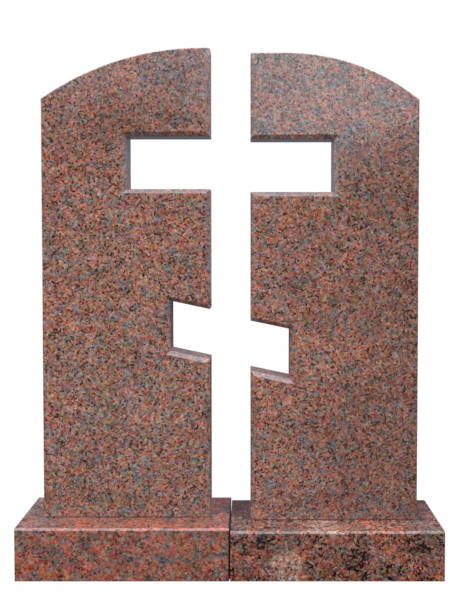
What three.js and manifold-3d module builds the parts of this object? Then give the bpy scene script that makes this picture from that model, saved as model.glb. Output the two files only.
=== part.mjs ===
// A paired headstone of polished red granite. Two upright slabs (steles) with arched
// shoulders stand side by side, each on its own plinth. Notches in their inner edges
// leave a space between them with the outline of a cross: an upright, a level
// crossbar and a foot bar that slants down to the right.
// Millimetres, +Z up, front towards -Y, origin at the middle of the underside.

import * as THREE from 'three';
import { mergeVertices } from 'three/addons/utils/BufferGeometryUtils.js';
import Module from 'manifold-3d';

// Plinths: low blocks side by side, chamfered along the upper front edge
const PLINTH_WIDTH = 501;
const PLINTH_DEPTH = 226;
const PLINTH_GAP = 2;
const PLINTH_CHAMFER = 4.5;

// Steles: heights are measured from the top of the plinth. The edges along the cross have
// a wide chamfer, and the arch and the outer edges are only eased
const STELE_WIDTH = 403;
const STELE_THICKNESS = 80;
const STELE_SET_BACK = 77;
const CROSS_CHAMFER = 10;
const OUTER_EASING = 2;
const ARC_SEGMENTS = 14;

// Cross: the upright is the space between the steles, the bars are notches in them
const UPRIGHT_WIDTH = 97;
const CROSSBAR_REACH = 200;
const CROSSBAR_FLOOR = 793.5;
const CROSSBAR_HEIGHT = 126;
const FOOT_BAR_REACH = 95.5;
const FOOT_BAR_FLOOR = 373.5;
const FOOT_BAR_HEIGHT = 120.5;
const FOOT_BAR_ANGLE = THREE.MathUtils.degToRad(12);

// The two halves: side is the sign of X, flat is the level run at the top of the
// inner edge before the arch begins to fall
const HALVES = [
  { name: 'left', side: -1, plinthHeight: 124.5, apex: 1128.5, shoulder: 1008, flat: 18 },
  { name: 'right', side: 1, plinthHeight: 117.5, apex: 1123.5, shoulder: 1012.5, flat: 86 },
];

// Polished granite: the plinths are cut from a redder and a darker block than the steles
const STELE_COLOUR = 0x86655b;
const PLINTH_COLOURS = { left: 0x835a4e, right: 0x705047 };
const POLISH = { roughness: 0.2, metalness: 0, flatShading: true };

// Stock that is sawn off, the reach of the block that it is sawn to, and how far
// from the cut a corner may come out
const SAWING_STOCK = 20;
const SAW_REACH = 3000;
const SAW_TOLERANCE = 0.001;

const wasm = await Module();
wasm.setup();

// A closed solid for cutting, from a geometry reduced to its shared positions.
function toSolid(geometry) {
  const bare = geometry.clone();
  bare.deleteAttribute('normal');
  bare.deleteAttribute('uv');
  const merged = mergeVertices(bare);
  const vertProperties = Float32Array.from(merged.attributes.position.array);
  const triVerts = Uint32Array.from(merged.index.array);
  return new wasm.Manifold(new wasm.Mesh({ numProp: 3, vertProperties, triVerts }));
}

function toGeometry(solid) {
  const { vertProperties, triVerts } = solid.getMesh();
  const geometry = new THREE.BufferGeometry();
  geometry.setAttribute('position', new THREE.BufferAttribute(vertProperties, 3));
  geometry.setIndex(new THREE.BufferAttribute(triVerts, 1));
  geometry.computeVertexNormals();
  return geometry;
}

// Keep what lies above z = 0 and in front of y = back, and lay the sawn foot exactly on z = 0.
function sawFlat(solid, back) {
  const block = new THREE.BoxGeometry(SAW_REACH, SAW_REACH, SAW_REACH);
  block.translate(0, back - SAW_REACH / 2, SAW_REACH / 2);
  const sawn = toGeometry(solid.intersect(toSolid(block)));
  const position = sawn.attributes.position;
  for (let i = 0; i < position.count; i += 1) {
    if (Math.abs(position.getZ(i)) < SAW_TOLERANCE) position.setZ(i, 0);
  }
  return sawn;
}

// A prism of the given outline with a chamfer round its upper face, from z = 0 to z = height.
function chamferedPrism(outline, height, chamfer) {
  return new THREE.ExtrudeGeometry(outline, {
    depth: height - chamfer,
    curveSegments: ARC_SEGMENTS,
    bevelSegments: 1,
    bevelSize: chamfer,
    bevelThickness: chamfer,
    bevelOffset: -chamfer,
  });
}

// A plinth is its side view, y to the back and z up, carried along x.
function plinthGeometry(height) {
  const back = PLINTH_DEPTH / 2;
  const bevel = PLINTH_CHAMFER;
  const corners = [[back, 0], [back, height], [bevel - back, height], [-back, height - bevel], [-back, 0]];
  const view = new THREE.Shape(corners.map(([y, z]) => new THREE.Vector2(y, z)));
  const block = new THREE.ExtrudeGeometry(view, { depth: PLINTH_WIDTH, bevelEnabled: false });
  block.translate(0, 0, -PLINTH_WIDTH / 2);
  const [x, y, z] = [[1, 0, 0], [0, 1, 0], [0, 0, 1]].map((axis) => new THREE.Vector3(...axis));
  return toGeometry(toSolid(block.applyMatrix4(new THREE.Matrix4().makeBasis(y, z, x))));
}

// Front outline of a stele: x runs outwards from its inner edge, on the half's own side,
// and y is the height above the plinth. The foot bar slopes in the same direction on both
// sides, so its edges are lines of height against the distance from the middle of the cross.
// The arch and the outer edge can be given spare stone.
function steleOutline({ side, apex, shoulder, flat }, spare) {
  const slope = side * Math.tan(FOOT_BAR_ANGLE);
  const footBarEdge = (level, reach) => level - slope * (UPRIGHT_WIDTH / 2 + reach);
  const footBarTop = FOOT_BAR_FLOOR + FOOT_BAR_HEIGHT;
  const crossbarTop = CROSSBAR_FLOOR + CROSSBAR_HEIGHT;

  const outline = new THREE.Shape();
  outline.moveTo(0, -SAWING_STOCK);
  outline.lineTo(0, footBarEdge(FOOT_BAR_FLOOR, 0));
  outline.lineTo(side * FOOT_BAR_REACH, footBarEdge(FOOT_BAR_FLOOR, FOOT_BAR_REACH));
  outline.lineTo(side * FOOT_BAR_REACH, footBarEdge(footBarTop, FOOT_BAR_REACH));
  outline.lineTo(0, footBarEdge(footBarTop, 0));
  outline.lineTo(0, CROSSBAR_FLOOR);
  outline.lineTo(side * CROSSBAR_REACH, CROSSBAR_FLOOR);
  outline.lineTo(side * CROSSBAR_REACH, crossbarTop);
  outline.lineTo(0, crossbarTop);

  // The arch leaves the level run tangentially and falls to the shoulder
  const top = apex + spare;
  const width = STELE_WIDTH + spare;
  outline.lineTo(0, top);
  const run = width - flat;
  const fall = apex - shoulder;
  const radius = (run * run + fall * fall) / (2 * fall);
  const sweep = Math.asin(run / radius);
  outline.absarc(side * flat, top - radius, radius, Math.PI / 2, Math.PI / 2 - side * sweep, side > 0);
  outline.lineTo(side * width, -SAWING_STOCK);
  return outline;
}

// A stele stands with its back on y = 0. It is what two prisms share: one is eased all round,
// and the other is chamfered all round but has spare stone where only the easing is wanted.
function steleGeometry(half) {
  const eased = chamferedPrism(steleOutline(half, 0), STELE_THICKNESS, OUTER_EASING);
  const chamfered = chamferedPrism(steleOutline(half, SAWING_STOCK), STELE_THICKNESS, CROSS_CHAMFER);
  const upright = [eased, chamfered].map((prism) => toSolid(prism.rotateX(Math.PI / 2)));
  return sawFlat(upright[0].intersect(upright[1]), 0);
}

function stone(name, geometry, colour) {
  const mesh = new THREE.Mesh(geometry, new THREE.MeshStandardMaterial({ color: colour, ...POLISH }));
  mesh.name = name;
  return mesh;
}

// One half of the headstone: a plinth on the ground and a stele on the plinth.
function halfHeadstone(half) {
  const block = plinthGeometry(half.plinthHeight);
  const plinth = stone(`${half.name}_plinth`, block, PLINTH_COLOURS[half.name]);
  plinth.position.x = half.side * (PLINTH_GAP + PLINTH_WIDTH) / 2;

  const slab = steleGeometry(half);
  const stele = stone(`${half.name}_stele`, slab, STELE_COLOUR);
  const steleBack = STELE_SET_BACK + STELE_THICKNESS - PLINTH_DEPTH / 2;
  stele.position.set(half.side * UPRIGHT_WIDTH / 2, steleBack, half.plinthHeight);

  return new THREE.Group().add(plinth, stele);
}

const headstone = new THREE.Group();
headstone.name = 'headstone';
headstone.add(...HALVES.map(halfHeadstone));

export default headstone;
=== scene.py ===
"""Looks of a paired headstone of polished red granite.

Two upright slabs (steles) with arched shoulders stand on plinths. Notches in their inner edges
leave an open cross between them. Every stone is a stack of outlines closed into a solid, worked out
as whole arrays, and its granite is a node material on Object coordinates. Lengths are metres in
the part's own frame: +Z up, front towards -Y, origin in the middle of the underside.
"""

import logging
import math
from dataclasses import dataclass, field
from enum import Enum

import bpy
import numpy as np
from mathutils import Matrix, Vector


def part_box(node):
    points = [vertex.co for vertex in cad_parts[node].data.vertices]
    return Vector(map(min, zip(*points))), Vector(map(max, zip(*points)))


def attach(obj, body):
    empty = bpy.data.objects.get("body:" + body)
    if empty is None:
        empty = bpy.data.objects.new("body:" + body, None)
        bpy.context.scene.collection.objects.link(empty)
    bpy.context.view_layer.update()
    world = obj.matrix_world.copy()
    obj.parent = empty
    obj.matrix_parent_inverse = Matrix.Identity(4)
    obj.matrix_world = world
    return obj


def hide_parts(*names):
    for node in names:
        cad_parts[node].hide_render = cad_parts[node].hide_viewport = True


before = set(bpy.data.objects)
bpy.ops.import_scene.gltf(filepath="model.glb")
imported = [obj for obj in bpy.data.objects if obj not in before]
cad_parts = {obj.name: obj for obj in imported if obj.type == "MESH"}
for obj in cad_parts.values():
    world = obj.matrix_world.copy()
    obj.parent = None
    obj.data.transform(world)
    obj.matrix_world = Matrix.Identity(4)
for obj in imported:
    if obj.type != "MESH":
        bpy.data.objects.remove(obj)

LOG = logging.getLogger("headstone")
BODY = "root"

Colour = tuple[float, float, float]


class Side(Enum):
    """Which half of the headstone a stone belongs to, as the sign of its X."""

    LEFT = -1
    RIGHT = 1


class Surface(Enum):
    """How a face of the stone was left by the mason; the rubbed kind is also paler by a painted sheen."""

    POLISHED = 0
    GROUND = 1
    # Rougher than ground, and paler by a painted sheen where the chamfers face the sky
    RUBBED_AND_SHEEN = 2
    HONED = 3
    SAWN = 4


def linear(red: int, green: int, blue: int) -> Colour:
    """Turn a display colour into scene-linear light.

    Args:
        red: red from 0 to 255.
        green: green from 0 to 255.
        blue: blue from 0 to 255.

    Returns:
        The three linear values, by the display's own transfer curve.
    """
    share = np.array([red, green, blue]) / 255
    curved = np.where(share <= 0.04045, share / 12.92, ((share + 0.055) / 1.055) ** 2.4)
    return tuple(float(value) for value in curved)


class NodeGraph:
    """A node tree with short calls for adding nodes and joining their sockets."""

    # Places of the colours among all the sockets of a mix node
    MIX_COLOURS = (6, 7)
    MIX_RESULT = 2

    def __init__(self, tree: bpy.types.NodeTree) -> None:
        """Empty the tree and keep it."""
        self.tree = tree
        tree.nodes.clear()

    def add(self, kind: str, **settings: object) -> bpy.types.Node:
        """Add a node.

        Args:
            kind: Blender's name of the node class.
            settings: properties of the node, by name.

        Returns:
            The new node.
        """
        node = self.tree.nodes.new(kind)
        for name, value in settings.items():
            setattr(node, name, value)
        return node

    def feed(self, socket: bpy.types.NodeSocket, value: object) -> None:
        """Give an input socket a link from another socket, or a plain value.

        Args:
            socket: the input.
            value: an output socket, a number, a vector or a colour.
        """
        if isinstance(value, bpy.types.NodeSocket):
            self.tree.links.new(value, socket)
        else:
            socket.default_value = value

    def math(self, operation: str, *inputs: object, clamp: bool = False) -> bpy.types.NodeSocket:
        """Join numbers with one arithmetic step.

        Args:
            operation: Blender's name of the operation.
            inputs: sockets or numbers, in order.
            clamp: whether the result is kept between 0 and 1.

        Returns:
            The result's socket.
        """
        node = self.add("ShaderNodeMath", operation=operation, use_clamp=clamp)
        for socket, value in zip(node.inputs, inputs):
            self.feed(socket, value)
        return node.outputs[0]

    def vector(self, operation: str, *inputs: object) -> bpy.types.NodeSocket:
        """Join vectors with one step, the last input being a number for SCALE.

        Args:
            operation: Blender's name of the operation.
            inputs: sockets or vectors, in order.

        Returns:
            The result's socket.
        """
        node = self.add("ShaderNodeVectorMath", operation=operation)
        sockets = [node.inputs[0], node.inputs["Scale"]] if operation == "SCALE" else node.inputs
        for socket, value in zip(sockets, inputs):
            self.feed(socket, value)
        return node.outputs["Value" if operation == "LENGTH" else "Vector"]

    def noise(self, place: bpy.types.NodeSocket, size: float, detail: float = 2.0) -> bpy.types.Node:
        """Add soft noise whose patches are about size metres across.

        Args:
            place: the coordinates to read it at.
            size: width of a patch.
            detail: how many finer layers lie on it.

        Returns:
            The noise node.
        """
        node = self.add("ShaderNodeTexNoise")
        self.feed(node.inputs["Vector"], place)
        node.inputs["Scale"].default_value = 1 / size
        node.inputs["Detail"].default_value = detail
        return node

    def centred_noise(self, place: bpy.types.NodeSocket, size: float, share: float) -> bpy.types.NodeSocket:
        """Add noise about zero.

        Args:
            place: the coordinates to read it at.
            size: width of a patch.
            share: what the noise's range from 0 to 1 is scaled to.

        Returns:
            The noise's socket.
        """
        noise = self.noise(place, size).outputs["Fac"]
        return self.math("MULTIPLY_ADD", noise, share, -share / 2)

    def cells(self, place: bpy.types.NodeSocket, size: float, blend: float = 0.0) -> bpy.types.NodeOutputs:
        """Add crystals about size metres across, each with three random numbers of its own.

        Args:
            place: the coordinates to read them at.
            size: width of a crystal.
            blend: how softly neighbours run into each other.

        Returns:
            The sockets of the three numbers.
        """
        node = self.add("ShaderNodeTexVoronoi", feature="SMOOTH_F1" if blend else "F1")
        self.feed(node.inputs["Vector"], place)
        node.inputs["Scale"].default_value = 1 / size
        if blend:
            node.inputs["Smoothness"].default_value = blend
        return self.split(node.outputs["Color"])

    def smooth(self, value: bpy.types.NodeSocket, start: float, end: float) -> bpy.types.NodeSocket:
        """Step softly from 0 to 1.

        Args:
            value: the number that is stepped.
            start: where the step leaves 0.
            end: where it reaches 1.

        Returns:
            The step's socket.
        """
        node = self.add("ShaderNodeMapRange", interpolation_type="SMOOTHSTEP")
        self.feed(node.inputs["Value"], value)
        self.feed(node.inputs["From Min"], start)
        self.feed(node.inputs["From Max"], end)
        return node.outputs[0]

    def split(self, colour: bpy.types.NodeSocket) -> bpy.types.NodeOutputs:
        """Split a colour into its channels.

        Args:
            colour: the colour's socket.

        Returns:
            The sockets of the three channels.
        """
        node = self.add("ShaderNodeSeparateColor")
        self.feed(node.inputs[0], colour)
        return node.outputs

    def ramp(self, place: bpy.types.NodeSocket, stops: dict[float, Colour]) -> bpy.types.NodeSocket:
        """Read a colour off a ramp.

        Args:
            place: a number from 0 to 1.
            stops: colour by position along the ramp.

        Returns:
            The colour's socket.
        """
        node = self.add("ShaderNodeValToRGB")
        elements = node.color_ramp.elements
        while len(elements) < len(stops):
            elements.new(1.0)
        for element, (position, colour) in zip(elements, sorted(stops.items())):
            element.position = position
            element.color = (*colour, 1.0)
        self.feed(node.inputs[0], place)
        return node.outputs[0]

    def mix(self, blend: str, share: object, first: object, second: object) -> bpy.types.NodeSocket:
        """Blend two colours.

        Args:
            blend: Blender's name of the blend mode.
            share: how much of the blend shows.
            first: the colour underneath.
            second: the colour on top.

        Returns:
            The blended colour's socket.
        """
        node = self.add("ShaderNodeMix", data_type="RGBA", blend_type=blend)
        self.feed(node.inputs["Factor"], share)
        for place, colour in zip(self.MIX_COLOURS, (first, second)):
            self.feed(node.inputs[place], colour)
        return node.outputs[self.MIX_RESULT]


@dataclass(frozen=True)
class Patch:
    """An ellipsoid in the block, ragged at its rim, that makes the colour darker, paler or greyer: stone that
    runs so, and in places painted shade and painted light.

    In its core the tone multiplies the minerals' colour, the veil says how much of them is pale feldspar
    instead, and the mica adds to the share of mica. The core is a share of the radii, and ragged is the
    range of the noise at the rim, as a share of the radii too.
    """

    centre: tuple[float, float, float]
    radii: tuple[float, float, float]
    tone: Colour = (1.0, 1.0, 1.0)
    veil: float = 0.0
    mica: float = 0.0
    core: float = 0.3
    ragged: float = 1.0

    def weight(self, graph: NodeGraph, place: bpy.types.NodeSocket) -> bpy.types.NodeSocket:
        """Fade from 1 in the core of the ellipsoid to 0 at its rim.

        Args:
            graph: the material's nodes.
            place: the coordinates to read it at.

        Returns:
            The weight's socket.
        """
        offset = graph.vector("SUBTRACT", place, self.centre)
        inside = graph.vector("LENGTH", graph.vector("DIVIDE", offset, self.radii))
        noise = graph.centred_noise(place, min(self.radii) / 2, self.ragged)
        return graph.smooth(graph.math("ADD", inside, noise), 1.0, self.core)


@dataclass(frozen=True)
class Finish:
    """How rough and uneven a face was left, and how much its bruised surface pales the colour; on the rubbed
    up-facing chamfers part of that paling is painted sheen.
    """

    roughness: float
    bump: float
    bloom: float = 0.0


@dataclass(frozen=True)
class Granite:
    """Red granite: crystals of several minerals, finer grains of light and dark, and black mica.

    Crystal, grain, mica_clump, drift, tint, powder and warp_patch are the widths of the patterns. Minerals
    gives a crystal's colour and tones a grain's tone, each by a random number from 0 to 1. The outlines of
    the crystals wander by up to warp.
    """

    name: str
    minerals: dict[float, Colour]
    crystal: float
    grain: float
    tones: dict[float, float]
    mica_share: float
    mica_clump: float = 0.012
    mica_clump_limits: tuple[float, float] = (0.38, 0.68)
    mica_least: float = 0.2
    mica_swell: float = 2.0
    mica_gather: float = 0.12
    mica: Colour = linear(48, 29, 25)
    feldspar: Colour = linear(156, 120, 102)
    warp: float = 0.0022
    warp_patch: float = 0.0066
    drift: float = 0.05
    drift_share: float = 0.4
    drift_tone: float = -0.5
    crystal_tone: float = 0.36
    crystal_blend: float = 0.25
    tone_power: Colour = (0.64, 1.0, 1.22)
    tint: float = 0.007
    tint_share: Colour = (0.3, 1.1, 0.75)
    rust: Colour = (1.03, 1.0, 0.8)
    slate: Colour = (0.97, 1.0, 1.2)
    powder: float = 0.0014
    powder_tone: float = 0.6
    pit_depth: float = 0.0005
    patches: tuple[Patch, ...] = ()
    finishes: dict[Surface, Finish] = field(
        default_factory=lambda: {
            Surface.POLISHED: Finish(roughness=0.12, bump=0.02),
            Surface.GROUND: Finish(roughness=0.22, bump=0.05, bloom=0.1),
            # Rubbed: rougher, and its bloom partly a painted sheen of the sky on up-facing chamfers
            Surface.RUBBED_AND_SHEEN: Finish(roughness=0.38, bump=0.12, bloom=0.3),
            Surface.HONED: Finish(roughness=0.32, bump=0.08, bloom=0.08),
            Surface.SAWN: Finish(roughness=0.75, bump=0.5, bloom=0.4),
        }
    )
    bloom: Colour = linear(104, 112, 114)
    roughness_least: float = 0.85
    roughness_swing: float = 0.3
    index_of_refraction: float = 1.54

    def colour(self, graph: NodeGraph, place: bpy.types.NodeSocket) -> bpy.types.NodeSocket:
        """Join the stone's colour.

        A coarse set of cells picks each crystal's mineral off a ramp of colours, its lightness and its
        stain. A finer set multiplies this by a tone, whose tint wanders within the crystals, and powder-fine
        noise breaks it up. A slow drift gathers the grey minerals and darkens them. Each patch shades the
        minerals, veils them with feldspar and changes the share of mica.

        Dark mica takes a share m of the grains that swells and shrinks in clumps. A grain is mica where the
        sum (1 - g) a + g b of its own random number a and its crystal's random number b, each from 0 to 1,
        lies under the root of 2 g (1 - g) m, which is true for the share m of all grains while m is small.

        Args:
            graph: the material's nodes.
            place: the warped coordinates.

        Returns:
            The colour's socket.
        """
        crystal = graph.cells(place, self.crystal, self.crystal_blend)
        grain = graph.cells(place, self.grain)
        drift = graph.centred_noise(place, self.drift, 1.0)
        kind = graph.math("MULTIPLY_ADD", drift, self.drift_share, crystal[0], clamp=True)
        stain = graph.ramp(crystal[2], {0.0: self.rust, 1.0: self.slate})
        mineral = graph.mix("MULTIPLY", 1.0, graph.ramp(kind, self.minerals), stain)
        tint = graph.noise(place, self.tint, detail=1.0).outputs["Color"]
        tint = graph.vector("MULTIPLY", tint, self.tint_share)
        tint = graph.vector("ADD", tint, tuple(1 - share / 2 for share in self.tint_share))

        tones = {at: tuple(tone**power for power in self.tone_power) for at, tone in self.tones.items()}
        tone = graph.mix("MULTIPLY", 1.0, graph.ramp(grain[0], tones), tint)
        lightness = graph.math("MULTIPLY_ADD", crystal[1], self.crystal_tone, 1 - self.crystal_tone / 2)
        powder = graph.centred_noise(place, self.powder, self.powder_tone)
        lightness = graph.math("MULTIPLY", lightness, graph.math("ADD", powder, 1.0))
        lightness = graph.math("MULTIPLY", lightness, graph.math("MULTIPLY_ADD", drift, self.drift_tone, 1.0))

        clump = graph.smooth(graph.noise(place, self.mica_clump).outputs["Fac"], *self.mica_clump_limits)
        least = self.mica_least * self.mica_share
        mica_share = graph.math("MULTIPLY_ADD", clump, self.mica_swell * self.mica_share, least)
        for patch in self.patches:
            weight = patch.weight(graph, place)
            shade = graph.mix("MIX", weight, (1.0,) * 4, (*patch.tone, 1.0))
            shaded = graph.mix("MULTIPLY", 1.0, mineral, shade)
            veil = graph.math("MULTIPLY", weight, patch.veil)
            mineral = graph.mix("MIX", veil, shaded, (*self.feldspar, 1.0))
            mica_share = graph.math("MULTIPLY_ADD", weight, patch.mica, mica_share)
        colour = graph.vector("SCALE", graph.mix("MULTIPLY", 1.0, mineral, tone), lightness)

        gather = self.mica_gather
        rank = graph.math("MULTIPLY_ADD", crystal[1], gather, graph.math("MULTIPLY", grain[1], 1 - gather))
        limit = graph.math("SQRT", graph.math("MULTIPLY", mica_share, 2 * gather * (1 - gather)))
        is_mica = graph.math("LESS_THAN", rank, limit)
        return graph.mix("MIX", is_mica, colour, (*self.mica, 1.0))

    def material(self, surface: Surface) -> bpy.types.Material:
        """Make the node material of one kind of face.

        Args:
            surface: how the face was finished.

        Returns:
            The material.
        """
        material = bpy.data.materials.new(f"{self.name}_{surface.name.lower()}")
        material.use_nodes = True
        graph = NodeGraph(material.node_tree)
        place = graph.add("ShaderNodeTexCoord").outputs["Object"]
        shake = graph.noise(place, self.warp_patch, detail=3.0).outputs["Color"]
        shake = graph.vector("SUBTRACT", shake, (0.5, 0.5, 0.5))
        place = graph.vector("ADD", place, graph.vector("SCALE", shake, 2 * self.warp))

        finish = self.finishes[surface]
        shader = graph.add("ShaderNodeBsdfPrincipled")
        shader.inputs["IOR"].default_value = self.index_of_refraction
        colour = graph.mix("MIX", finish.bloom, self.colour(graph, place), (*self.bloom, 1.0))
        graph.feed(shader.inputs["Base Color"], colour)
        grain = graph.cells(place, self.grain)
        least = self.roughness_least * finish.roughness
        uneven = graph.math("MULTIPLY_ADD", grain[2], self.roughness_swing * finish.roughness, least)
        graph.feed(shader.inputs["Roughness"], uneven)
        bump = graph.add("ShaderNodeBump")
        bump.inputs["Strength"].default_value = finish.bump
        bump.inputs["Distance"].default_value = self.pit_depth
        graph.feed(bump.inputs["Height"], graph.noise(place, self.powder).outputs["Fac"])
        graph.feed(shader.inputs["Normal"], bump.outputs[0])
        output = graph.add("ShaderNodeOutputMaterial")
        graph.feed(output.inputs["Surface"], shader.outputs[0])
        return material


# Tone of a grain by its random number: how far it is darker or lighter than its crystal
STELE_TONES = {0.0: 0.12, 0.1: 0.43, 0.25: 0.7, 0.5: 1.0, 0.75: 1.36, 0.9: 1.68, 1.0: 2.08}
LEFT_PLINTH_TONES = {0.0: 0.2, 0.1: 0.46, 0.25: 0.72, 0.5: 1.0, 0.75: 1.29, 0.9: 1.56, 1.0: 1.9}
RIGHT_PLINTH_TONES = {0.0: 0.2, 0.1: 0.4, 0.25: 0.68, 0.5: 1.06, 0.75: 1.54, 0.9: 2.05, 1.0: 2.7}

STELE_GRANITE = Granite(
    name="stele_granite",
    minerals={
        0.0: linear(142, 81, 60),
        0.35: linear(131, 84, 67),
        0.6: linear(121, 86, 72),
        0.8: linear(110, 87, 76),
        1.0: linear(97, 86, 79),
    },
    crystal=0.010,
    grain=0.0040,
    tones=STELE_TONES,
    mica_share=0.062,
    mica=linear(44, 24, 18),
    patches=(
        # Right slab: the darker outer side, its upper end, a paler band and the foot
        Patch(centre=(0.49, 0.0, 0.35), radii=(0.48, 0.4, 0.75), tone=(0.75, 0.75, 0.75)),
        Patch(centre=(0.4, 0.0, 0.95), radii=(0.25, 0.4, 0.18), tone=(0.82, 0.84, 0.86)),
        Patch(centre=(0.27, 0.0, 0.51), radii=(0.2, 0.4, 0.1), tone=(1.2, 1.19, 1.19)),
        Patch(centre=(0.27, 0.0, 0.12), radii=(0.35, 0.4, 0.12), tone=(0.87, 0.87, 0.93)),
        # Left slab: by the end of the crossbar, the head, the foot and the middle
        Patch(centre=(-0.25, -0.04, 1.07), radii=(0.16, 0.15, 0.08), tone=(0.85, 0.8, 0.75)),
        Patch(centre=(-0.13, -0.04, 1.16), radii=(0.16, 0.15, 0.12), tone=(0.85, 0.9, 0.92)),
        Patch(centre=(-0.25, 0.0, 0.22), radii=(0.35, 0.4, 0.22), tone=(0.9, 0.94, 0.96)),
        Patch(centre=(-0.25, 0.0, 0.55), radii=(0.3, 0.4, 0.65), tone=(1.0, 1.07, 1.09)),
        # Painted light: the ceilings of the crossbar made paler, standing in for light thrown up from the
        # ground
        Patch(centre=(-0.12, -0.036, 1.048), radii=(0.2, 0.03, 0.014), tone=(1.5, 1.4, 1.35)),
        Patch(centre=(0.12, -0.036, 1.041), radii=(0.2, 0.03, 0.014), tone=(1.7, 1.8, 1.9)),
    ),
)

LEFT_PLINTH_GRANITE = Granite(
    name="left_plinth_granite",
    minerals={
        0.0: linear(140, 71, 52),
        0.35: linear(128, 75, 58),
        0.6: linear(115, 77, 63),
        0.8: linear(101, 77, 67),
        1.0: linear(87, 77, 70),
    },
    crystal=0.0105,
    grain=0.0043,
    tones=LEFT_PLINTH_TONES,
    tone_power=(0.46, 1.04, 1.4),
    mica_gather=0.5,
    drift=0.035,
    drift_share=0.95,
    drift_tone=-1.0,
    mica_share=0.05,
    mica_clump=0.02,
    patches=(
        # The top from left to right, then painted shade: the inner back corner of the top, and the edge and
        # end face at the joint
        Patch(centre=(-0.51, 0.0, 0.124), radii=(0.13, 0.4, 0.04), tone=(0.68, 0.95, 1.1)),
        Patch(centre=(-0.21, -0.08, 0.124), radii=(0.3, 0.2, 0.012), tone=(1.13, 0.93, 0.84)),
        Patch(centre=(-0.03, -0.07, 0.124), radii=(0.06, 0.1, 0.02), tone=(1.08, 1.06, 1.08)),
        # Painted shade: the top darker towards the back between the slabs, where less light falls
        Patch(centre=(-0.02, 0.1, 0.124), radii=(0.07, 0.13, 0.04), tone=(0.62, 0.48, 0.46)),
        # Painted shade: the end face in the gap between the plinths and its edge, dark as the shaded gap
        Patch(centre=(0.0, 0.0, 0.062), radii=(0.006, 1.0, 1.0), tone=(0.15, 0.15, 0.15)),
    ),
)

RIGHT_PLINTH_GRANITE = Granite(
    name="right_plinth_granite",
    minerals={
        0.0: linear(126, 64, 46),
        0.35: linear(114, 67, 53),
        0.6: linear(103, 67, 55),
        0.8: linear(92, 66, 56),
        1.0: linear(81, 65, 58),
    },
    crystal=0.010,
    grain=0.0045,
    tones=RIGHT_PLINTH_TONES,
    tone_power=(0.5, 1.0, 1.3),
    slate=(1.0, 1.0, 1.05),
    mica_gather=0.36,
    drift=0.04,
    drift_share=0.8,
    drift_tone=-0.8,
    mica=linear(14, 8, 9),
    mica_share=0.145,
    mica_clump=0.018,
    patches=(
        # The front: three clusters of mica and a pale area
        Patch(centre=(0.085, -0.11, 0.096), radii=(0.045, 0.05, 0.026), tone=(0.8, 0.8, 0.8), mica=0.34),
        Patch(centre=(0.296, -0.11, 0.052), radii=(0.04, 0.05, 0.036), tone=(0.9, 0.75, 0.7), mica=0.6),
        Patch(centre=(0.432, -0.11, 0.088), radii=(0.05, 0.05, 0.035), tone=(0.75, 0.72, 0.72), mica=0.34),
        Patch(
            centre=(0.137, -0.11, 0.014),
            radii=(0.06, 0.07, 0.085),
            tone=(1.15, 1.15, 1.15),
            veil=0.42,
            mica=-0.15,
        ),
        # The top from left to right, and its two back corners in painted shade
        Patch(centre=(0.12, -0.08, 0.117), radii=(0.09, 0.1, 0.012), tone=(1.03, 1.1, 1.2)),
        Patch(centre=(0.228, -0.08, 0.117), radii=(0.06, 0.1, 0.012), veil=0.4, mica=-0.2),
        Patch(centre=(0.335, -0.08, 0.117), radii=(0.09, 0.1, 0.012), tone=(1.45, 1.2, 1.05)),
        Patch(centre=(0.46, -0.06, 0.117), radii=(0.07, 0.1, 0.02), tone=(0.75, 0.95, 1.05)),
        # Painted shade: the top darker towards the back at both ends of the slab, where less light falls
        Patch(centre=(0.02, 0.09, 0.117), radii=(0.07, 0.13, 0.04), tone=(0.34, 0.2, 0.14)),
        Patch(centre=(0.46, 0.09, 0.117), radii=(0.09, 0.13, 0.04), tone=(0.48, 0.36, 0.34)),
    ),
)


def prism_mesh(name: str, rings: np.ndarray, surfaces: np.ndarray, flip: bool) -> bpy.types.Mesh:
    """Close a stack of rings into a solid: quads between the rings and a face at each end.

    Args:
        name: the mesh's name.
        rings: (K, N, 3) vertices, counter-clockwise as the first ring is seen.
        surfaces: material index of each quad, ring by ring, then of the first and the last face.
        flip: whether the rings run clockwise instead, so that the faces are turned over.

    Returns:
        The mesh.
    """
    levels, count = rings.shape[:2]
    here = np.arange(levels * count).reshape(levels, count)
    there = np.roll(here, -1, axis=1)
    quads = np.stack([here[1:], there[1:], there[:-1], here[:-1]], axis=-1).reshape(-1, 4)
    ends = np.stack([here[0], here[-1, ::-1]])
    turn = -1 if flip else 1
    mesh = bpy.data.meshes.new(name)
    faces = [*quads[:, ::turn].tolist(), *ends[:, ::turn].tolist()]
    mesh.from_pydata(rings.reshape(-1, 3).tolist(), [], faces)
    mesh.polygons.foreach_set("material_index", surfaces.astype(np.int32))
    mesh.polygons.foreach_set("use_smooth", np.ones(len(surfaces), dtype=bool))
    mesh.update()
    return mesh


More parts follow.
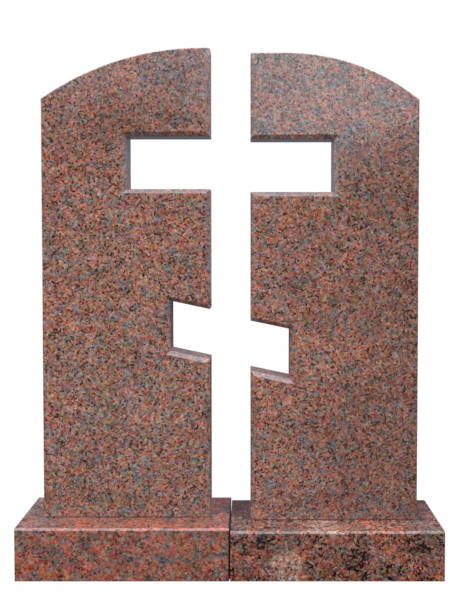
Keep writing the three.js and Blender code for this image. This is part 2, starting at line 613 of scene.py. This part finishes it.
@dataclass
class Stone:
    """One dressed block of stone that stands for a solid of the frame."""

    node: str
    granite: Granite
    slot: str
    arris: float = 0.001
    arris_segments: int = 3
    arris_angle: float = math.radians(20)

    def __post_init__(self) -> None:
        """Take the block's place and size from the frame."""
        low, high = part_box(self.node)
        self.low = np.array(low)
        self.high = np.array(high)

    def rings(self) -> np.ndarray:
        """Work out the block's rings of vertices, from the face that is dressed first."""
        raise NotImplementedError

    def surfaces(self) -> np.ndarray:
        """Say how the block's faces are finished, in the order of prism_mesh."""
        raise NotImplementedError

    def is_mirrored(self) -> bool:
        """Say whether the rings run clockwise."""
        return False

    def build(self) -> bpy.types.Object:
        """Make the block, soften its arrises and put it in the frame's body.

        Returns:
            The finished object.
        """
        mesh = prism_mesh(f"{self.node}_stone", self.rings(), self.surfaces(), self.is_mirrored())
        block = bpy.data.objects.new(f"{self.node}_stone", mesh)
        bpy.context.scene.collection.objects.link(block)
        softened = block.modifiers.new("arrises", "BEVEL")
        softened.width = self.arris
        softened.segments = self.arris_segments
        softened.limit_method = "ANGLE"
        softened.angle_limit = self.arris_angle
        softened.harden_normals = True
        for surface in Surface:
            mesh.materials.append(self.granite.material(surface))
        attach(block, BODY)
        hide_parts(self.node)
        return block


@dataclass
class Stele(Stone):
    """An upright slab with an arched shoulder and the notches of the cross in its inner edge.

    Heights are above the slab's foot, and distances run outwards from its inner edge. The edges along
    the cross have a wide chamfer, and the arch and the outer edge are only eased.
    """

    side: Side = Side.LEFT
    shoulder: float = 1.008
    flat: float = 0.018
    chamfer: float = 0.01
    easing: float = 0.002
    crossbar_reach: float = 0.2
    crossbar_floor: float = 0.7935
    crossbar_height: float = 0.126
    foot_bar_reach: float = 0.0955
    foot_bar_floor: float = 0.3735
    foot_bar_height: float = 0.1205
    foot_bar_angle: float = math.radians(12)
    arch_steps: int = 96

    def arch(self, easing: float) -> np.ndarray:
        """Work out the arch: a circle that leaves the level run and falls to the shoulder.

        With run r and fall f the circle's radius is (r^2 + f^2) / 2f. Moved inwards it is a smaller
        circle about the same centre, as far as the outer edge moved inwards.

        Args:
            easing: how far the arch and the outer edge are moved inwards.

        Returns:
            (M, 2) points from the end of the level run to the shoulder.
        """
        width = self.high[0] - self.low[0]
        apex = self.high[2] - self.low[2]
        run = width - self.flat
        fall = apex - self.shoulder
        radius = (run**2 + fall**2) / (2 * fall)
        turn = np.linspace(0, math.asin((run - easing) / (radius - easing)), self.arch_steps + 1)
        circle = np.stack([np.sin(turn), np.cos(turn)], axis=1)
        return np.array([self.flat, apex - radius]) + (radius - easing) * circle

    def cross(self, chamfer: float) -> np.ndarray:
        """Work out the inner edge with its notches, moved inwards.

        A foot bar's edge at angle a that moves by d is d / cos a higher or lower at the same place.

        Args:
            chamfer: how far the edges are moved.

        Returns:
            (8, 2) points from the foot bar's lower corner up to the crossbar's upper corner.
        """
        inner = np.abs([self.low[0], self.high[0]]).min()
        slope = self.side.value * math.tan(self.foot_bar_angle)
        shift = chamfer / math.cos(self.foot_bar_angle)
        floor = self.foot_bar_floor - shift
        ceiling = self.foot_bar_floor + self.foot_bar_height + shift
        level = np.array([floor, floor, ceiling, ceiling])
        reach = np.array([0, self.foot_bar_reach, self.foot_bar_reach, 0]) + chamfer
        foot_bar = np.stack([reach, level - slope * (inner + reach)], axis=1)
        floor = self.crossbar_floor - chamfer
        ceiling = self.crossbar_floor + self.crossbar_height + chamfer
        reach = self.crossbar_reach + chamfer
        crossbar = np.array([(chamfer, floor), (reach, floor), (reach, ceiling), (chamfer, ceiling)])
        return np.concatenate([foot_bar, crossbar])

    def ring(self, chamfer: float, easing: float, depth: float) -> np.ndarray:
        """Work out the outline at one depth, with its edges moved inwards.

        Args:
            chamfer: how far the edges along the cross are moved.
            easing: how far the arch, the outer edge and the foot are moved.
            depth: distance from the front face.

        Returns:
            (N, 3) vertices, starting with the outer end of the foot.
        """
        width = self.high[0] - self.low[0]
        apex = self.high[2] - self.low[2]
        inner = np.abs([self.low[0], self.high[0]]).min()
        foot = [(width - easing, easing), (chamfer, easing)]
        level_run = [(chamfer, apex - easing)]
        points = np.concatenate([foot, self.cross(chamfer), level_run, self.arch(easing)])
        x = self.side.value * (inner + points[:, 0])
        return np.stack([x, np.full(len(x), self.low[1] + depth), self.low[2] + points[:, 1]], axis=1)

    def rings(self) -> np.ndarray:
        """Work out the slab: its outline at the front, behind the easing and the chamfer, and at the back.

        Returns:
            (4, N, 3) vertices.
        """
        thickness = self.high[1] - self.low[1]
        return np.stack(
            [
                self.ring(self.chamfer, self.easing, 0.0),
                self.ring(self.chamfer - self.easing, 0.0, self.easing),
                self.ring(0.0, 0.0, self.chamfer),
                self.ring(0.0, 0.0, thickness),
            ]
        )

    def surfaces(self) -> np.ndarray:
        """Say how the faces are finished: polished, with a honed back, a sawn foot and ground chamfers.

        The chamfers that face upwards, along the floors of the two bars, are rubbed rougher than the rest and
        made paler, a painted sheen where they face the sky.
        An edge of the outline has the number of the vertex that it starts from, and the first two bands
        between the rings are the bevel.

        Returns:
            The material index of every face.
        """
        quads = np.full(self.rings().shape[:2], Surface.POLISHED.value)[1:]
        foot = 0
        floors = [2, 6]
        chamfers = slice(1, 2 + len(self.cross(0)))
        bevel = slice(0, 2)
        quads[bevel, chamfers] = Surface.GROUND.value
        quads[bevel, floors] = Surface.RUBBED_AND_SHEEN.value
        quads[:, foot] = Surface.SAWN.value
        return np.concatenate([quads.ravel(), [Surface.POLISHED.value, Surface.HONED.value]])

    def is_mirrored(self) -> bool:
        """Say whether the rings run clockwise: the outline is drawn for the left slab."""
        return self.side is Side.RIGHT


@dataclass
class Plinth(Stone):
    """A low block with its upper front edge cut off at 45 degrees."""

    chamfer: float = 0.0045

    def rings(self) -> np.ndarray:
        """Work out the block: its side view at the left end and at the right end.

        Returns:
            (2, 5, 3) vertices.
        """
        (left, front, bottom), (right, back, top) = self.low, self.high
        lip = [(front, top - self.chamfer), (front + self.chamfer, top)]
        view = np.array([(front, bottom), *lip, (back, top), (back, bottom)])
        return np.stack([np.insert(view, 0, x, axis=1) for x in (left, right)])

    def surfaces(self) -> np.ndarray:
        """Say how the faces are finished: polished but for the honed back and the sawn underside."""
        quads = [Surface.POLISHED.value] * 3 + [Surface.HONED.value, Surface.SAWN.value]
        return np.array(quads + [Surface.POLISHED.value] * 2)


@dataclass
class Studio:
    """The camera at the photograph's viewpoint, an overcast sky, pavement in front and soil by the stones.

    The sky shows above a skyline, which is low in front of the stones and high behind them, and haze shows
    below it. The skyline's height in front, the haze and the share of light from the low sky are given by
    where a direction lies from left to right, from -1 to 1. The camera itself sees white.
    """

    image_width: int = 459
    image_height: int = 593
    focal_pixels: float = 816.0
    axis_pixel: tuple[float, float] = (249.4, 260.4)
    eye: tuple[float, float, float] = (0.0459, -1.9893, 0.8142)
    tilt_down: float = 0.0344
    sensor: float = 36.0
    zenith: Colour = (4.1, 4.4, 4.75)
    haze: dict[float, Colour] = field(
        default_factory=lambda: {
            -0.9: (1.4, 1.5, 1.55),
            -0.3: (0.24, 0.19, 0.2),
            0.3: (0.24, 0.19, 0.2),
            0.9: (0.5, 0.65, 0.9),
        }
    )
    haze_behind: dict[float, Colour] = field(
        default_factory=lambda: {
            -0.9: (2.6, 2.65, 2.7),
            -0.45: (0.2, 0.23, 0.3),
            0.45: (0.2, 0.23, 0.3),
            0.9: (2.6, 2.65, 2.7),
        }
    )
    skyline: dict[float, float] = field(
        default_factory=lambda: {
            -1.0: 0.1,
            -0.25: 0.14,
            -0.07: 0.135,
            0.025: 0.045,
            0.12: 0.07,
            0.2: 0.11,
            0.5: 0.15,
            1.0: 0.13,
        }
    )
    low_sky: dict[float, Colour] = field(
        default_factory=lambda: {
            -0.9: (1.6, 1.85, 1.95),
            -0.4: (0.55, 0.64, 0.72),
            -0.1: (0.55, 0.64, 0.72),
            0.05: (1.23, 1.42, 1.5),
        }
    )
    low_sky_limits: tuple[float, float] = (0.5, 0.2)
    horizon_share: float = 1 / 3
    skyline_behind: float = 0.75
    skyline_blur: float = 0.05
    turn_behind: float = 0.5
    ground_size: float = 16.0
    ground_height: float = -0.001
    pavement: Colour = (0.105, 0.09, 0.088)
    soil: Colour = (0.03, 0.025, 0.025)
    soil_front: float = -0.2
    footing: tuple[float, float] = (0.9, 0.2)

    def camera(self) -> bpy.types.Object:
        """Set up the camera: lens and shift follow from the focal length and optical axis in pixels.

        Returns:
            The camera.
        """
        longest = max(self.image_width, self.image_height)
        data = bpy.data.cameras.new("viewpoint")
        data.sensor_width = self.sensor
        data.lens = self.focal_pixels * self.sensor / longest
        data.shift_x = (self.image_width / 2 - self.axis_pixel[0]) / longest
        data.shift_y = (self.axis_pixel[1] - self.image_height / 2) / longest
        camera = bpy.data.objects.new("viewpoint", data)
        camera.location = self.eye
        camera.rotation_euler = (math.pi / 2 - self.tilt_down, 0, 0)
        bpy.context.scene.collection.objects.link(camera)
        bpy.context.scene.camera = camera
        return camera

    @staticmethod
    def across(graph: NodeGraph, x: bpy.types.NodeSocket, stops: dict[float, Colour]) -> bpy.types.NodeSocket:
        """Read a colour off a ramp that runs from left to right.

        Args:
            graph: the world's nodes.
            x: the direction's part to the right, from -1 to 1.
            stops: the colour by that part.

        Returns:
            The colour's socket.
        """
        share = graph.math("MULTIPLY_ADD", x, 0.5, 0.5)
        return graph.ramp(share, {(place + 1) / 2: colour for place, colour in stops.items()})

    def light(self) -> bpy.types.World:
        """Make the light: an overcast sky, which is brightest overhead, above the skyline and its haze.

        Returns:
            The world.
        """
        world = bpy.data.worlds.new("overcast_sky")
        world.use_nodes = True
        graph = NodeGraph(world.node_tree)
        parts = graph.add("ShaderNodeSeparateXYZ")
        graph.feed(parts.inputs[0], graph.add("ShaderNodeTexCoord").outputs["Generated"])
        x, y, z = parts.outputs

        behind = graph.smooth(y, 0.0, self.turn_behind)
        in_front = self.across(graph, x, {place: (height,) * 3 for place, height in self.skyline.items()})
        skyline = graph.mix("MIX", behind, in_front, (self.skyline_behind,) * 4)
        above = graph.smooth(graph.math("SUBTRACT", z, skyline), 0.0, self.skyline_blur)
        low = graph.smooth(z, *self.low_sky_limits)
        share = graph.mix("MIX", low, (1.0,) * 4, self.across(graph, x, self.low_sky))
        overcast = graph.math("MULTIPLY_ADD", z, 1 - self.horizon_share, self.horizon_share)
        sky = graph.vector("SCALE", graph.mix("MULTIPLY", 1.0, (*self.zenith, 1.0), share), overcast)
        hazes = [self.across(graph, x, stops) for stops in (self.haze, self.haze_behind)]
        haze = graph.mix("MIX", behind, *hazes)
        light = graph.mix("MIX", above, haze, sky)
        seen = graph.add("ShaderNodeLightPath").outputs["Is Camera Ray"]
        background = graph.add("ShaderNodeBackground")
        graph.feed(background.inputs["Color"], graph.mix("MIX", seen, light, (1.0,) * 4))
        output = graph.add("ShaderNodeOutputWorld")
        graph.feed(output.inputs["Surface"], background.outputs[0])
        bpy.context.scene.world = world
        return world

    @staticmethod
    def slab(
        name: str, width: float, front: float, back: float, height: float, colour: Colour
    ) -> bpy.types.Object:
        """Lay a flat, dull rectangle.

        Args:
            name: the rectangle's name.
            width: its size along X, half of it on each side.
            front: Y of its front edge.
            back: Y of its back edge.
            height: its height.
            colour: its colour.

        Returns:
            The rectangle.
        """
        side = width / 2
        corners = [(-side, front, height), (side, front, height), (side, back, height), (-side, back, height)]
        mesh = bpy.data.meshes.new(name)
        mesh.from_pydata(corners, [], [(0, 1, 2, 3)])
        material = bpy.data.materials.new(name)
        material.use_nodes = True
        graph = NodeGraph(material.node_tree)
        shader = graph.add("ShaderNodeBsdfDiffuse")
        shader.inputs["Color"].default_value = (*colour, 1.0)
        output = graph.add("ShaderNodeOutputMaterial")
        graph.feed(output.inputs["Surface"], shader.outputs[0])
        mesh.materials.append(material)
        slab = bpy.data.objects.new(name, mesh)
        bpy.context.scene.collection.objects.link(slab)
        return slab

    def floor(self) -> None:
        """Lay the ground, which only throws light on the stones, and the footing seen between the plinths."""
        reach = self.ground_size / 2
        level = self.ground_height
        grounds = [
            self.slab("pavement", self.ground_size, -reach, self.soil_front, level, self.pavement),
            self.slab("soil", self.ground_size, self.soil_front, reach, level, self.soil),
        ]
        for ground in grounds:
            ground.visible_camera = False
        width, depth = self.footing
        self.slab("footing", width, -depth / 2, depth / 2, 0.0, self.pavement)

    def build(self) -> None:
        """Set up the camera, the light and the ground."""
        self.camera()
        self.light()
        self.floor()
        bpy.context.scene.view_settings.view_transform = "Standard"


def main() -> None:
    """Build the studio and the four stones, and report each of them."""
    logging.basicConfig(level=logging.INFO, format="%(name)s: %(message)s")
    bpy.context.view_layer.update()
    Studio().build()
    stones = [
        Plinth("left_plinth", LEFT_PLINTH_GRANITE, "left_plinth_granite"),
        Plinth("right_plinth", RIGHT_PLINTH_GRANITE, "right_plinth_granite"),
        Stele("left_stele", STELE_GRANITE, "stele_granite", side=Side.LEFT),
        Stele("right_stele", STELE_GRANITE, "stele_granite", side=Side.RIGHT, shoulder=1.0125, flat=0.086),
    ]
    for stone in stones:
        block = stone.build()
        LOG.info("%s: %d faces before softening", block.name, len(block.data.polygons))


if __name__ == "__main__":
    main()
